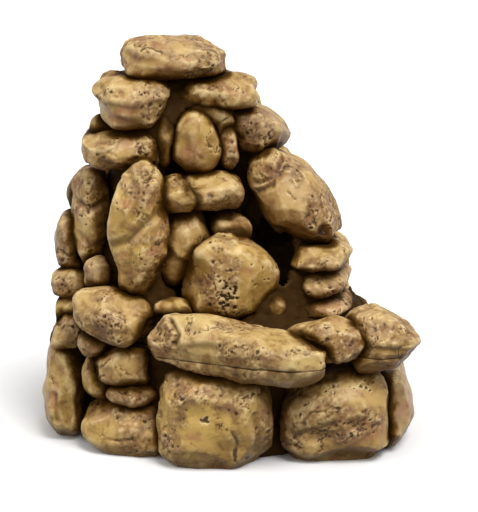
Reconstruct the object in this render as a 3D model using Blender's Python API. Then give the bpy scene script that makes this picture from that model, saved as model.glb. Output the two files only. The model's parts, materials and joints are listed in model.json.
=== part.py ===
"""Cave ornament for ponds and aquariums: weathered stones bonded to two hollow resin castings.

The lower casting is a ring of big blocks.  The upper casting is a hollow mountain with a deep niche
in front, and it lifts straight off a low locating lip on the ring.  Every stone is a separate solid.

Lengths are in millimetres while the shapes are worked out, and in metres on the finished objects.
+Z is up, the front faces -Y and the object rests on z = 0.
"""

import math

import bmesh
import bpy
from mathutils import Euler, Matrix, Vector, noise

MM = 0.001

# Overall arrangement
GAP = 0.3                # clearance left between pieces that would touch
PARTING = 59.0           # height of the joint between the two castings
LEFT_PARTING = 52.0      # the joint steps down to this height along the left flank
SHELL_WALL = 4.5         # thickness of both castings
LIP_HEIGHT = 6.0         # locating lip on the lower casting
LIP_WALL = 3.0
LIP_CLEARANCE = 0.6

# Plan of the castings: (height, centre x, centre y, half width, half depth)
BASE_CORE = (
    (0.0, 2.0, 0.0, 76.0, 60.0),
    (PARTING, 0.0, 0.0, 74.0, 58.0),
)
CAVE_CORE = (
    (PARTING, 0.0, 0.0, 74.0, 58.0),
    (PARTING + LIP_HEIGHT + 2.0, 0.0, 0.0, 74.0, 58.0),
    (76.0, -6.5, 1.0, 66.5, 53.0),
    (90.0, -9.0, 2.0, 64.0, 49.0),
    (112.0, -14.0, 3.0, 57.0, 44.0),
    (138.0, -18.0, 4.0, 48.0, 39.0),
    (160.0, -21.0, 4.0, 39.0, 33.0),
    (178.0, -24.0, 4.0, 30.0, 26.0),
    (190.0, -25.0, 4.0, 20.0, 18.0),
    (196.0, -26.0, 4.0, 9.0, 8.0),
)
CORE_SIDES = 24
WELDS = (0.05, 0.1, 0.02, 0.15, 0.005)   # distances tried in turn when tidying a cut solid
FLATNESS = math.radians(1.0)      # neighbouring facets closer than this are merged

# Deep niche in the front of the upper casting, and the cave mouth at its lower right
NICHE_CENTRE = (-6.0, -42.0, 129.5)
NICHE_RADII = (33.0, 48.0, 57.5)
NICHE_SQUARE = 3.5
MOUTH_CENTRE = (25.0, -6.0, 97.0)
MOUTH_RADII = (14.0, 34.0, 25.0)

# Painted resin colours: (red, green, blue, roughness)
PAINTS = {
    "ochre_paint": (0.42, 0.27, 0.12, 0.55),
    "tan_paint": (0.48, 0.34, 0.19, 0.55),
    "beige_paint": (0.58, 0.45, 0.30, 0.58),
    "pink_paint": (0.50, 0.30, 0.22, 0.55),
    "grey_paint": (0.34, 0.28, 0.25, 0.60),
    "dark_wash": (0.09, 0.06, 0.04, 0.70),
}


class Stone:
    """One stone: its solid and the height at which the joint cuts it."""

    def __init__(self, obj, cut_height):
        self.obj = obj
        self.cut_height = cut_height


# ---------------------------------------------------------------------------------------------
# Materials and small mesh helpers
# ---------------------------------------------------------------------------------------------

def paint(name):
    """Return the named paint, making it the first time it is asked for."""
    if name in bpy.data.materials:
        return bpy.data.materials[name]
    red, green, blue, roughness = PAINTS[name]
    material = bpy.data.materials.new(name)
    material.use_nodes = True
    material.diffuse_color = (red, green, blue, 1.0)
    shader = material.node_tree.nodes["Principled BSDF"]
    shader.inputs["Base Color"].default_value = (red, green, blue, 1.0)
    shader.inputs["Roughness"].default_value = roughness
    shader.inputs["Metallic"].default_value = 0.0
    return material


def new_object(name, mesh_data):
    """Turn a bmesh in millimetres into a named object made of triangles.

    Quads are always split along the same diagonal, so a grown copy keeps its distance all over.
    """
    bmesh.ops.triangulate(mesh_data, faces=mesh_data.faces, quad_method="FIXED")
    bmesh.ops.recalc_face_normals(mesh_data, faces=mesh_data.faces)
    mesh = bpy.data.meshes.new(name)
    mesh_data.to_mesh(mesh)
    mesh_data.free()
    obj = bpy.data.objects.new(name, mesh)
    bpy.context.scene.collection.objects.link(obj)
    return obj


def discard(obj):
    """Remove a cutter and its mesh."""
    mesh = obj.data
    bpy.data.objects.remove(obj)
    bpy.data.meshes.remove(mesh)


def inflated_copy(obj, distance):
    """Return a copy of a solid grown outwards by a distance."""
    copy = bmesh.new()
    copy.from_mesh(obj.data)
    copy.normal_update()
    moves = [(vertex, vertex.normal * distance) for vertex in copy.verts]
    for vertex, move in moves:
        vertex.co += move
    return new_object(obj.name + "_grown", copy)


def combine(obj, operation, others):
    """Replace an object's mesh by its Boolean combination with a group of other solids."""
    group = bpy.data.collections.new("operands")
    for other in others:
        group.objects.link(other)
    modifier = obj.modifiers.new("combine", "BOOLEAN")
    modifier.operation = operation
    modifier.solver = "EXACT"
    modifier.operand_type = "COLLECTION"
    modifier.collection = group
    depsgraph = bpy.context.evaluated_depsgraph_get()
    result = bpy.data.meshes.new_from_object(obj.evaluated_get(depsgraph))
    obj.modifiers.clear()
    bpy.data.collections.remove(group)
    old = obj.data
    obj.data = result
    bpy.data.meshes.remove(old)


def cut_away(obj, cutters):
    """Subtract temporary solids from an object and throw them away."""
    combine(obj, "DIFFERENCE", cutters)
    for cutter in cutters:
        discard(cutter)


def block(name, low, high):
    """Return a plain box between two corners."""
    box = bmesh.new()
    size = [high[i] - low[i] for i in range(3)]
    middle = [(high[i] + low[i]) / 2.0 for i in range(3)]
    bmesh.ops.create_cube(box, size=1.0)
    bmesh.ops.scale(box, vec=size, verts=box.verts)
    bmesh.ops.translate(box, vec=middle, verts=box.verts)
    return new_object(name, box)


def tidied(mesh, weld, flatness):
    """Return a triangle bmesh with tiny edges welded and nearly flat facets merged."""
    solid = bmesh.new()
    solid.from_mesh(mesh)
    bmesh.ops.remove_doubles(solid, verts=solid.verts, dist=weld)
    bmesh.ops.dissolve_degenerate(solid, edges=solid.edges, dist=weld)
    if flatness > 0.0:
        bmesh.ops.dissolve_limit(solid, angle_limit=flatness, verts=solid.verts,
                                 edges=solid.edges)
    bmesh.ops.triangulate(solid, faces=solid.faces)
    return solid


def tidy_solid(obj, flatness):
    """Tidy a cut solid as far as it stays closed, and keep only its biggest body."""
    for weld in WELDS:
        solid = tidied(obj.data, weld, flatness)
        if all(edge.is_manifold for edge in solid.edges):
            break
    bodies = loose_bodies(solid)
    bodies.sort(key=body_volume, reverse=True)
    spare = [face for body in bodies[1:] for face in body]
    bmesh.ops.delete(solid, geom=spare, context="FACES")
    solid.to_mesh(obj.data)
    solid.free()


def loose_bodies(solid):
    """Group the faces of a bmesh into connected bodies."""
    unseen = set(solid.faces)
    bodies = []
    while unseen:
        front = [unseen.pop()]
        body = list(front)
        while front:
            face = front.pop()
            for edge in face.edges:
                for neighbour in edge.link_faces:
                    if neighbour in unseen:
                        unseen.remove(neighbour)
                        front.append(neighbour)
                        body.append(neighbour)
        bodies.append(body)
    return bodies


def body_volume(faces):
    """Volume enclosed by a set of triangles."""
    total = 0.0
    for face in faces:
        a, b, c = (vertex.co for vertex in face.verts)
        total += a.dot(b.cross(c)) / 6.0
    return total


# ---------------------------------------------------------------------------------------------
# Stones
# ---------------------------------------------------------------------------------------------

def corner_factor(angle, corners):
    """How far the outline reaches at an angle: 1 on the axes, the corner's own value halfway."""
    reach = 1.0
    for index, corner in enumerate(corners):
        middle = math.radians(45.0 + 90.0 * index)
        away = math.remainder(angle - middle, 2.0 * math.pi)
        if abs(away) < math.pi / 4.0:
            reach += (corner - 1.0) * math.cos(2.0 * away) ** 2
    return reach


def stone_point(direction, corners, square, taper, bend, lumps, seed):
    """Map a point of the unit sphere onto a weathered stone about two units across."""
    fullness = sum(abs(value) ** square for value in direction) ** (-1.0 / square)
    point = direction * fullness
    factor = corner_factor(math.atan2(direction.z, direction.x), corners)
    across = point.x * factor
    upright = point.z * factor
    across = across * (1.0 + taper * upright) + bend * upright * upright
    rock = noise.noise(direction * 1.7 + Vector((seed * 7.31, seed * 3.17, 0.5)))
    return Vector((across, point.y, upright)) * (1.0 + lumps * rock)


def fill_box(points, size):
    """Scale and centre points so that they just fill a box of the given size."""
    for axis in range(3):
        low = min(point[axis] for point in points)
        high = max(point[axis] for point in points)
        scale = size[axis] / (high - low)
        for point in points:
            point[axis] = (point[axis] - (low + high) / 2.0) * scale


def cube_divisions(longest):
    """How finely a stone is divided, from its longest side."""
    if longest < 18.0:
        return 3
    if longest < 44.0:
        return 4
    if longest < 80.0:
        return 5
    return 6


def stone_solid(name, at, size, turn, lean, roll, corners, square, taper, bend, lumps, seed):
    """Build one uncut stone: a cube-sphere mapped to the stone's shape and put in its place."""
    divisions = cube_divisions(max(size))
    solid = bmesh.new()
    bmesh.ops.create_cube(solid, size=2.0)
    bmesh.ops.subdivide_edges(solid, edges=solid.edges, cuts=divisions - 1, use_grid_fill=True)
    points = [
        stone_point(vertex.co.normalized(), corners, square, taper, bend, lumps, seed)
        for vertex in solid.verts
    ]
    fill_box(points, size)
    turned = Euler((math.radians(lean), math.radians(roll), math.radians(turn)), "XYZ")
    place = Matrix.Translation(at) @ turned.to_matrix().to_4x4()
    for vertex, point in zip(solid.verts, points):
        vertex.co = place @ point
    return new_object(name, solid)


def stone(name, colour, at, size, turn=0.0, lean=0.0, roll=0.0, corners=(1, 1, 1, 1),
          square=2.5, taper=0.0, bend=0.0, lumps=0.18, seed=1, cut_height=PARTING):
    """Add one stone.

    at is its centre and size its width, depth and height before it is turned.  turn, lean and roll
    are angles in degrees about Z, X and Y.  corners says how full the outline is at the upper
    right, upper left, lower left and lower right.  taper widens the top, bend bows the stone
    sideways, square makes it blockier and lumps roughens it.
    """
    obj = stone_solid(name, at, size, turn, lean, roll, corners, square, taper, bend, lumps, seed)
    obj.data.materials.append(paint(colour))
    return Stone(obj, cut_height)


def top_stones():
    """The cap and the stones that crown the mountain."""
    return [
        stone("cap_stone", "tan_paint", (-29.5, -6, 207.5), (56, 38, 24), roll=2,
              corners=(0.95, 1.02, 1.15, 1.02), taper=-0.05, seed=1),
        stone("cap_shim_stone", "grey_paint", (-50, 0, 194), (31, 28, 9), seed=2),
        stone("left_block_stone", "beige_paint", (-51.5, -11, 185), (42, 46, 29), square=3.2,
              corners=(1.15, 1.18, 1.0, 0.98), taper=0.06, seed=3),
        stone("crown_stone", "tan_paint", (-7, -2, 189.5), (44, 38, 19), roll=3,
              corners=(1.1, 0.92, 1.0, 1.12), seed=4),
        stone("left_pebble", "ochre_paint", (-68.5, -9, 171.5), (13, 13, 12), square=2.2, seed=5),
        stone("left_slab_stone", "tan_paint", (-55, -10, 160), (48, 48, 21.5), roll=-2,
              corners=(1.1, 1.15, 0.95, 0.92), square=2.8, seed=6),
        stone("right_shoulder_stone", "grey_paint", (12.5, 3, 166.5), (43, 40, 26), roll=24,
              corners=(1.05, 1.05, 0.9, 1.1), lumps=0.25, seed=7),
    ]


def left_pillar_stones():
    """The tall left pillar, with the ridge stone that faces the niche."""
    return [
        stone("leaf_stone", "ochre_paint", (-47.5, -36, 118.5), (31, 32, 79), roll=1, square=2.6,
              corners=(1.02, 0.98, 0.9, 0.95), seed=8),
        stone("nub_stone", "grey_paint", (-71, -27, 94), (16, 18, 18), square=2.2, seed=9),
        stone("flank_tall_stone", "ochre_paint", (-75.5, -8, 120), (21, 34, 57), seed=10),
        stone("flank_upper_back", "grey_paint", (-81, 8, 129.5), (16, 26, 22), seed=11),
        stone("flank_mid_stone", "grey_paint", (-86.5, 0, 104.5), (18, 30, 33), seed=12),
        stone("flank_small_stone", "tan_paint", (-86, -4, 82), (22, 36, 18), seed=13),
        stone("flank_low_stone", "ochre_paint", (-85, -8, 67.5), (20, 36, 22), seed=14,
              cut_height=LEFT_PARTING),
        stone("sliver_stone", "tan_paint", (-35, -16, 165), (11, 22, 32), roll=8, seed=15),
    ]


def niche_stones():
    """The upright egg stone in the niche and the stones that step down below it."""
    return [
        stone("egg_stone", "ochre_paint", (-18, -17, 163.5), (27, 25, 36), roll=-5,
              taper=-0.16, square=2.1, lumps=0.04, seed=16),
        stone("chip_stone", "pink_paint", (-0.5, -12, 159), (10, 16, 25), roll=-8, seed=18),
        stone("egg_back_stone", "grey_paint", (-15, -9, 175.5), (36, 24, 24), seed=17),
        stone("platform_stone", "beige_paint", (-11, -20, 138), (38, 36, 20), square=3.0,
              corners=(1.05, 1.1, 1.0, 1.12), seed=19),
        stone("niche_wedge_small", "ochre_paint", (-27, -30, 137.5), (22, 24, 21), roll=25,
              corners=(1.0, 1.1, 1.0, 0.9), seed=21),
        stone("niche_wedge_large", "tan_paint", (-27, -26, 108), (32, 30, 46), roll=28,
              corners=(1.0, 0.95, 1.1, 0.95), seed=22),
        stone("step_stone", "beige_paint", (-1, -17, 116), (27, 30, 15), seed=23),
        stone("centre_stone", "ochre_paint", (0.5, -34, 93.5), (51, 42, 49),
              corners=(0.95, 0.95, 0.95, 1.03), lumps=0.12, seed=24),
        stone("centre_foot_stone", "tan_paint", (23, -38, 77), (16, 20, 22), seed=25),
        stone("niche_pebble", "ochre_paint", (-31, -46, 76), (22, 20, 19), square=2.2, seed=26),
    ]


def right_pillar_stones():
    """The leaning right pillar on its stack of flat discs."""
    return [
        stone("right_tall_stone", "tan_paint", (33.5, -9, 131), (36, 48, 64), roll=-37,
              corners=(0.92, 1.0, 1.02, 1.08), seed=27),
        stone("disc_upper", "beige_paint", (48, -8, 101.5), (38, 62, 14.5), seed=28),
        stone("disc_middle", "tan_paint", (46, -6, 86.5), (42, 68, 15), seed=29),
        stone("disc_lower", "pink_paint", (47, -7, 73.5), (41, 68, 12.5), seed=30),
        stone("disc_foot_stone", "grey_paint", (57, -3, 63.5), (46, 66, 9), seed=57),
    ]


def rim_stones():
    """The front rim of the upper casting."""
    return [
        stone("beak_stone", "tan_paint", (-62, -46, 76), (46, 34, 28), turn=-30, roll=4,
              corners=(0.95, 1.12, 0.92, 1.12), seed=31),
        stone("pink_pebble", "pink_paint", (-73, -45, 60), (15, 16, 15), square=2.2, seed=32,
              cut_height=LEFT_PARTING),
        stone("flank_wedge_stone", "tan_paint", (-86, -21, 58), (19, 28, 24), roll=20, seed=33,
              cut_height=LEFT_PARTING),
        stone("middle_rim_stone", "tan_paint", (51, -65, 66), (40, 32, 25), roll=-6, seed=34),
    ]


def shared_rim_stones(suffix):
    """Stones that the joint runs through: each casting carries its own part of them."""
    return [
        stone("long_stone_" + suffix, "beige_paint", (1.5, -69, 64), (105, 30, 31), turn=-17,
              roll=3, corners=(1.0, 1.1, 1.0, 1.1), lumps=0.12, seed=35),
        stone("corner_stone_" + suffix, "tan_paint", (81.5, -50, 64.5), (38, 46, 36), turn=10,
              roll=-8, corners=(0.88, 1.05, 1.05, 1.1), seed=36),
    ]


def base_stones():
    """The ring of big blocks, front and sides."""
    return [
        stone("left_post_stone", "ochre_paint", (-90.5, -6, 24), (23, 62, 64), square=3.0, seed=37,
              cut_height=LEFT_PARTING),
        stone("clam_upper", "tan_paint", (-57, -44, 47.5), (31, 32, 22), seed=38),
        stone("clam_lower", "ochre_paint", (-70, -37, 39), (19, 26, 26), seed=39),
        stone("slice_stone", "grey_paint", (-52, -47, 33), (28, 28, 14), seed=40),
        stone("front_block", "ochre_paint", (-7, -60, 21), (62, 48, 60), square=3.0,
              corners=(1.05, 1.05, 1.1, 1.1), lumps=0.12, seed=41),
        stone("right_front_block", "tan_paint", (57, -50, 20), (59, 48, 58), square=3.0,
              corners=(1.05, 0.95, 1.1, 1.05), lumps=0.12, seed=42),
        stone("base_left_stone", "ochre_paint", (-54, -43, 10), (56, 36, 38), turn=-22, seed=43),
        stone("far_right_stone", "grey_paint", (87, -22, 17), (28, 68, 54), seed=44),
    ]


def course(names, colours, level, size, centre, radii, start, end, first_seed):
    """Lay named stones evenly round the back, from one angle to another, as one course.

    Angles are in degrees about the centre, from the right side towards the back.  Every other
    stone sits a little higher and leans the other way.
    """
    step = (end - start) / len(names)
    stones = []
    for index, (name, colour) in enumerate(zip(names, colours)):
        angle = start + step * (index + 0.5)
        x = centre[0] + radii[0] * math.cos(math.radians(angle))
        y = centre[1] + radii[1] * math.sin(math.radians(angle))
        outward = math.degrees(math.atan2(math.sin(math.radians(angle)) * radii[0],
                                          math.cos(math.radians(angle)) * radii[1]))
        side = 1 if index % 2 else -1
        stones.append(stone(name, colour, (x, y, level + side * 1.5), size, turn=outward - 90.0,
                            roll=side * 4.0, square=3.0, lumps=0.22, seed=first_seed + index))
    return stones


def base_back_stones():
    """The ring of big blocks, back."""
    return course(
        ("base_back_far_right", "base_back_right", "base_back_left", "base_back_far_left"),
        ("tan_paint", "ochre_paint", "tan_paint", "ochre_paint"),
        level=22.0, size=(70.0, 36.0, 76.0), centre=(-1.0, 0.0), radii=(85.0, 71.0),
        start=8.0, end=174.0, first_seed=45)


def cave_back_stones():
    """The back of the mountain."""
    low = course(
        ("back_low_right", "back_low_middle", "back_low_left"),
        ("tan_paint", "ochre_paint", "tan_paint"),
        level=80.0, size=(68.0, 36.0, 54.0), centre=(-13.0, 3.0), radii=(63.0, 55.0),
        start=10.0, end=168.0, first_seed=49)
    middle = course(
        ("back_mid_right", "back_mid_middle", "back_mid_left"),
        ("ochre_paint", "grey_paint", "ochre_paint"),
        level=127.0, size=(48.0, 32.0, 50.0), centre=(-18.0, 5.0), radii=(52.0, 43.0),
        start=26.0, end=168.0, first_seed=52)
    high = course(
        ("back_high_right", "back_high_left"),
        ("ochre_paint", "tan_paint"),
        level=170.0, size=(46.0, 30.0, 42.0), centre=(-24.0, 5.0), radii=(35.0, 30.0),
        start=18.0, end=166.0, first_seed=55)
    return low + middle + high


# ---------------------------------------------------------------------------------------------
# Castings
# ---------------------------------------------------------------------------------------------

def extended(stations, below, above):
    """Carry the first section straight down and the last one straight up."""
    first = stations[0]
    last = stations[-1]
    carried = list(stations)
    if below > 0.0:
        carried.insert(0, (first[0] - below,) + first[1:])
    if above > 0.0:
        carried.append((last[0] + above,) + last[1:])
    return carried


def core_solid(name, stations, inset=0.0):
    """Loft ellipses through the stations, each drawn in by the inset."""
    solid = bmesh.new()
    rings = []
    for height, centre_x, centre_y, half_width, half_depth in stations:
        ring = []
        for side in range(CORE_SIDES):
            angle = 2.0 * math.pi * side / CORE_SIDES
            x = centre_x + (half_width - inset) * math.cos(angle)
            y = centre_y + (half_depth - inset) * math.sin(angle)
            ring.append(solid.verts.new((x, y, height)))
        rings.append(ring)
    for below, above in zip(rings, rings[1:]):
        for side in range(CORE_SIDES):
            after = (side + 1) % CORE_SIDES
            solid.faces.new((below[side], below[after], above[after], above[side]))
    solid.faces.new(list(reversed(rings[0])))
    solid.faces.new(rings[-1])
    return new_object(name, solid)


def rounded_space(name, centre, radii, square):
    """Return a rounded space between an ellipsoid (square 2) and a box (large square)."""
    solid = bmesh.new()
    bmesh.ops.create_uvsphere(solid, u_segments=16, v_segments=10, radius=1.0)
    for vertex in solid.verts:
        fullness = sum(abs(value) ** square for value in vertex.co) ** (-1.0 / square)
        vertex.co *= fullness
    bmesh.ops.scale(solid, vec=radii, verts=solid.verts)
    bmesh.ops.translate(solid, vec=centre, verts=solid.verts)
    return new_object(name, solid)


def niche_solid(grow):
    """The space of the niche, grown by a distance."""
    radii = [radius + grow for radius in NICHE_RADII]
    return rounded_space("niche_space", NICHE_CENTRE, radii, NICHE_SQUARE)


def cave_envelope(grow):
    """The upper casting as a solid lump, with the niche already hollowed out of it."""
    lump = core_solid("cave_lump", extended(CAVE_CORE, 20.0, grow), inset=-grow)
    cut_away(lump, [niche_solid(-grow)])
    return lump


def base_envelope(grow):
    """The lower casting as a solid lump."""
    return core_solid("base_lump", extended(BASE_CORE, 20.0, 20.0), inset=-grow)


def cave_shell():
    """The upper casting: a thin mountain open below, with the niche and the cave mouth."""
    shell = core_solid("cave_shell", CAVE_CORE)
    shell.data.materials.append(paint("dark_wash"))
    cut_away(shell, [niche_solid(0.0)])

    hollow = core_solid("cave_hollow", extended(CAVE_CORE[:-1], 5.0, 0.0), inset=SHELL_WALL)
    cut_away(hollow, [niche_solid(SHELL_WALL)])
    tidy_solid(hollow, 0.0)
    cut_away(shell, [hollow])
    cut_away(shell, [rounded_space("mouth_space", MOUTH_CENTRE, MOUTH_RADII, 2.0)])
    return shell


def base_shell():
    """The lower casting: an open ring with a lip that locates the upper casting."""
    foot, top = BASE_CORE
    lowered_top = (PARTING - GAP,) + top[1:]
    lip_foot = (PARTING - 2.0 * LIP_HEIGHT,) + top[1:]
    lip_top = (PARTING + LIP_HEIGHT,) + top[1:]
    lip_inset = SHELL_WALL + LIP_CLEARANCE

    shell = core_solid("base_shell", (foot, lowered_top))
    shell.data.materials.append(paint("dark_wash"))
    lip = core_solid("lip", (lip_foot, lip_top), inset=lip_inset)
    combine(shell, "UNION", [lip])
    discard(lip)
    hollow = core_solid("base_hollow", extended((foot, top), 5.0, 2.0 * LIP_HEIGHT),
                        inset=lip_inset + LIP_WALL)
    cut_away(shell, [hollow])
    return shell


# ---------------------------------------------------------------------------------------------
# Fitting the stones together
# ---------------------------------------------------------------------------------------------

def bounds(obj):
    """Low and high corner of an object in its own millimetres."""
    corners = [vertex.co for vertex in obj.data.vertices]
    low = [min(corner[axis] for corner in corners) for axis in range(3)]
    high = [max(corner[axis] for corner in corners) for axis in range(3)]
    return low, high


def boxes_touch(first, second):
    """Whether the boxes round two objects overlap."""
    first_low, first_high = bounds(first)
    second_low, second_high = bounds(second)
    for axis in range(3):
        if first_high[axis] < second_low[axis] or second_high[axis] < first_low[axis]:
            return False
    return True


def fit_stones(stones, core, trim):
    """Cut the stones of one casting so that none overlap: earlier stones keep their shape.

    core is the casting's own lump, and trim gives the solid that cuts a stone off at the joint or
    at the ground.
    """
    grown = []
    for one in stones:
        original = inflated_copy(one.obj, GAP)
        neighbours = [cutter for cutter in grown if boxes_touch(one.obj, cutter)]
        trims = trim(one)
        combine(one.obj, "DIFFERENCE", neighbours + trims + [core])
        for cutter in trims:
            discard(cutter)
        tidy_solid(one.obj, FLATNESS)
        grown.append(original)
    for cutter in grown:
        discard(cutter)
    discard(core)


def below_the_joint(one):
    """What the joint cuts away from a stone of the upper casting."""
    top = one.cut_height + GAP / 2.0
    return [block("under_joint", (-300, -300, -300), (300, 300, top))]


def above_the_joint_and_below_the_ground(one):
    """What the joint and the ground cut away from a stone of the lower casting."""
    bottom = one.cut_height - GAP / 2.0
    return [
        block("over_joint", (-300, -300, bottom), (300, 300, 400)),
        block("under_ground", (-300, -300, -300), (300, 300, 0)),
    ]


def middle_of(parts):
    """The point at z = 0 under the middle of the whole ornament."""
    boxes = [bounds(part) for part in parts]
    low = [min(box[0][axis] for box in boxes) for axis in range(2)]
    high = [max(box[1][axis] for box in boxes) for axis in range(2)]
    return Vector(((low[0] + high[0]) / 2.0, (low[1] + high[1]) / 2.0, 0.0))


def finish(parts):
    """Centre the ornament on the origin, scale it to metres and shade it."""
    place = Matrix.Scale(MM, 4) @ Matrix.Translation(-middle_of(parts))
    for part in parts:
        part.data.transform(place)
        for polygon in part.data.polygons:
            polygon.use_smooth = True


def build():
    """Build the whole ornament."""
    for old in list(bpy.data.objects):
        bpy.data.objects.remove(old)

    cave_stones = (
        shared_rim_stones("top") + rim_stones() + niche_stones() + left_pillar_stones()
        + right_pillar_stones() + top_stones() + cave_back_stones()
    )
    ring_stones = shared_rim_stones("bottom") + base_stones() + base_back_stones()
    fit_stones(cave_stones, cave_envelope(GAP), below_the_joint)
    fit_stones(ring_stones, base_envelope(GAP), above_the_joint_and_below_the_ground)

    parts = [cave_shell(), base_shell()] + [one.obj for one in cave_stones + ring_stones]
    for part in parts[:2]:
        tidy_solid(part, 0.0)
    finish(parts)


build()
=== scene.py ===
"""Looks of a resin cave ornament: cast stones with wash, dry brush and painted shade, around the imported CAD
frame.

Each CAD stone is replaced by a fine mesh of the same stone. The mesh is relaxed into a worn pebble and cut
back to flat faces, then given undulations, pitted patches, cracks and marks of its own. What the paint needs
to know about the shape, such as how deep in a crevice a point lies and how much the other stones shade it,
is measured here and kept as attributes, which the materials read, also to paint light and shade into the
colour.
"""

import json
import math
import random

import bpy
import numpy as np
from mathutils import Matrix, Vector, noise
from mathutils.bvhtree import BVHTree
from mathutils.kdtree import KDTree

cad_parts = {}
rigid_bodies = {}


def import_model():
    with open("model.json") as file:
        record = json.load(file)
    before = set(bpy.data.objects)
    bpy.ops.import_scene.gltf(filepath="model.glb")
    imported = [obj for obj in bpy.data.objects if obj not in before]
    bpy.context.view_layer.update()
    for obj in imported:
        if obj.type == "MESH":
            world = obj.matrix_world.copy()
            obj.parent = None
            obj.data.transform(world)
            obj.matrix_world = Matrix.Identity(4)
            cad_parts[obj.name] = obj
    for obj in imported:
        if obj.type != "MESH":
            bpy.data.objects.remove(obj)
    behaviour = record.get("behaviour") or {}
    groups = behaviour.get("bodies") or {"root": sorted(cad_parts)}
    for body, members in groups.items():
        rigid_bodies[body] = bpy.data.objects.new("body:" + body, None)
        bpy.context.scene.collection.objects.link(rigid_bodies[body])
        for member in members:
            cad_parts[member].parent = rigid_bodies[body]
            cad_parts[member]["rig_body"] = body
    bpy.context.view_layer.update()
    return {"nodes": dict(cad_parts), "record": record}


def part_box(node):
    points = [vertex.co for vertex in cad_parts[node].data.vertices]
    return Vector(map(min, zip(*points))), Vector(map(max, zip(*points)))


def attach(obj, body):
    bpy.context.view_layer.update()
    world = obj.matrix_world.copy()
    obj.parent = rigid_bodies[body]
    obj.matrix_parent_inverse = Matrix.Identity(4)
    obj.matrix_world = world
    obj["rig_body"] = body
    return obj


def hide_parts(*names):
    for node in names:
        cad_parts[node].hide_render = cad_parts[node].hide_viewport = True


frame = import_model()

MM = 0.001
VOXEL = 0.7 * MM  # edge of a face on a stone
SHELL_VOXEL = 1.3 * MM  # edge of a face on the two hollow castings
RELAX_LENGTH = 1.5 * MM  # how far relaxing rounds a stone
SHRINKAGE = 0.7 * MM  # what relaxing and the flat faces take off, given back all round
FACETS = 12  # flat, worn faces on a stone, besides the ones it is known for
FACET_CUTS = (0.04, 0.19)  # least and most that such a face takes off, as shares of the stone's reach
FACET_PUSH = 0.9  # how far points beyond a face go back to it: 1 would make it quite flat
SOFTENING = 4  # rounds of relaxing over the edges of the faces
SEAM_REACH = 1.2 * MM  # near the parting line nothing moves up or down
PLAIN_JOINT = 12 * MM  # the castings stay even this far above and below it
FOOT_HEIGHT = 8 * MM  # standing stones draw in below this height
FOOT_ROUNDING = 4 * MM  # and by about this much at the ground

CREVICE_REACH = 7 * MM  # wash and painted shade thin out over this distance from the next stone
CREVICE_SOFTENING = 6  # rounds of relaxing over the edges of the wash and painted shade
CAVITY_DEPTH = 0.9 * MM  # a cavity this deep is full of wash
RIDGE_ROUNDS = 12  # a ridge stands out from the surface after this many rounds of relaxing
RIDGE_HEIGHT = 0.35 * MM  # and takes all the highlight when it stands out this far
SIGHT_LINES = 44  # directions in which a point looks for light
SIGHT_LENGTH = 90 * MM  # a stone further away than this casts no shade
SIGHT_START = 1.2 * MM  # how far above the surface a line of sight starts
LEAST_SHARE = 0.08  # a direction that lights the surface less than this is left out
RECESS_ROUNDS = 10  # rounds of relaxing over the shade

WHITE_ABOVE = 0.6  # brightness of the surround above the floor
SHADE_BELOW = 0.13  # and below it
HORIZON = (-0.25, 0.15)  # heights between which one goes over into the other, on a sphere of radius 1
FLOOR_REACH = 6.0  # half the width of the floor in metres
FLOOR_DROP = 0.1 * MM  # the floor lies this far below the object
CAMERA_AIM = (6 * MM, 0, 96 * MM)
CAMERA_DISTANCE = 1.3
CAMERA_ELEVATION = 16  # degrees above level
LENS = 166.2  # millimetres, on a sensor of this width
SENSOR = 36

SHELLS = ("cave_shell", "base_shell")


# ---------------------------------------------------------------- measuring and moving points


def body_of(node):
    """The CAD body that a node belongs to."""
    return frame["nodes"][node]["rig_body"]


def slot_of(node):
    """The paint that the record gives to a node."""
    return next(part["material_slot"] for part in frame["record"]["subparts"] if part["node"] == node)


def whole_stone(node):
    """The name of the stone that a node is part of: the parting line cuts some stones in two."""
    return node.removesuffix("_top").removesuffix("_bottom")


def points_of(mesh):
    """The mesh's vertices as an array."""
    points = np.empty(len(mesh.vertices) * 3)
    mesh.vertices.foreach_get("co", points)
    return points.reshape(-1, 3)


def normals_of(mesh):
    """The normals at the mesh's vertices as an array."""
    normals = np.empty(len(mesh.vertices) * 3)
    mesh.vertex_normals.foreach_get("vector", normals)
    return normals.reshape(-1, 3)


def edges_of(mesh):
    """The mesh's edges as an array of vertex pairs."""
    edges = np.empty(len(mesh.edges) * 2, dtype=np.int64)
    mesh.edges.foreach_get("vertices", edges)
    return edges.reshape(-1, 2)


def move_points(mesh, points):
    """Puts the mesh's vertices at these places."""
    mesh.vertices.foreach_set("co", np.ascontiguousarray(points, dtype=np.float32).ravel())
    mesh.update()


def neighbour_mean(values, edges):
    """Each vertex's mean of the values at its neighbours."""
    count = len(values)
    ends = np.concatenate([edges[:, 0], edges[:, 1]])
    others = np.concatenate([edges[:, 1], edges[:, 0]])
    valence = np.maximum(np.bincount(ends, minlength=count), 1)
    columns = values.reshape(count, -1)
    sums = [np.bincount(ends, weights=column[others], minlength=count) for column in columns.T]
    return (np.stack(sums, axis=1) / valence[:, None]).reshape(values.shape)


def tree_of(nodes):
    """A search tree of these CAD nodes, or None if there are none."""
    vertices, polygons = [], []
    for node in nodes:
        mesh = frame["nodes"][node].data
        start = len(vertices)
        vertices.extend(vertex.co.copy() for vertex in mesh.vertices)
        polygons.extend([start + corner for corner in face.vertices] for face in mesh.polygons)
    return BVHTree.FromPolygons(vertices, polygons) if polygons else None


def relaxed(values, edges, rounds):
    """The values spread evenly over the surface, each round by one edge."""
    for _ in range(rounds):
        values = 0.5 * values + 0.5 * neighbour_mean(values, edges)
    return values


def smooth_step(values, low, high):
    """0 below low, 1 above high, and a smooth rise between them."""
    share = np.clip((values - low) / (high - low), 0, 1)
    return share * share * (3 - 2 * share)


# ---------------------------------------------------------------- noise


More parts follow.
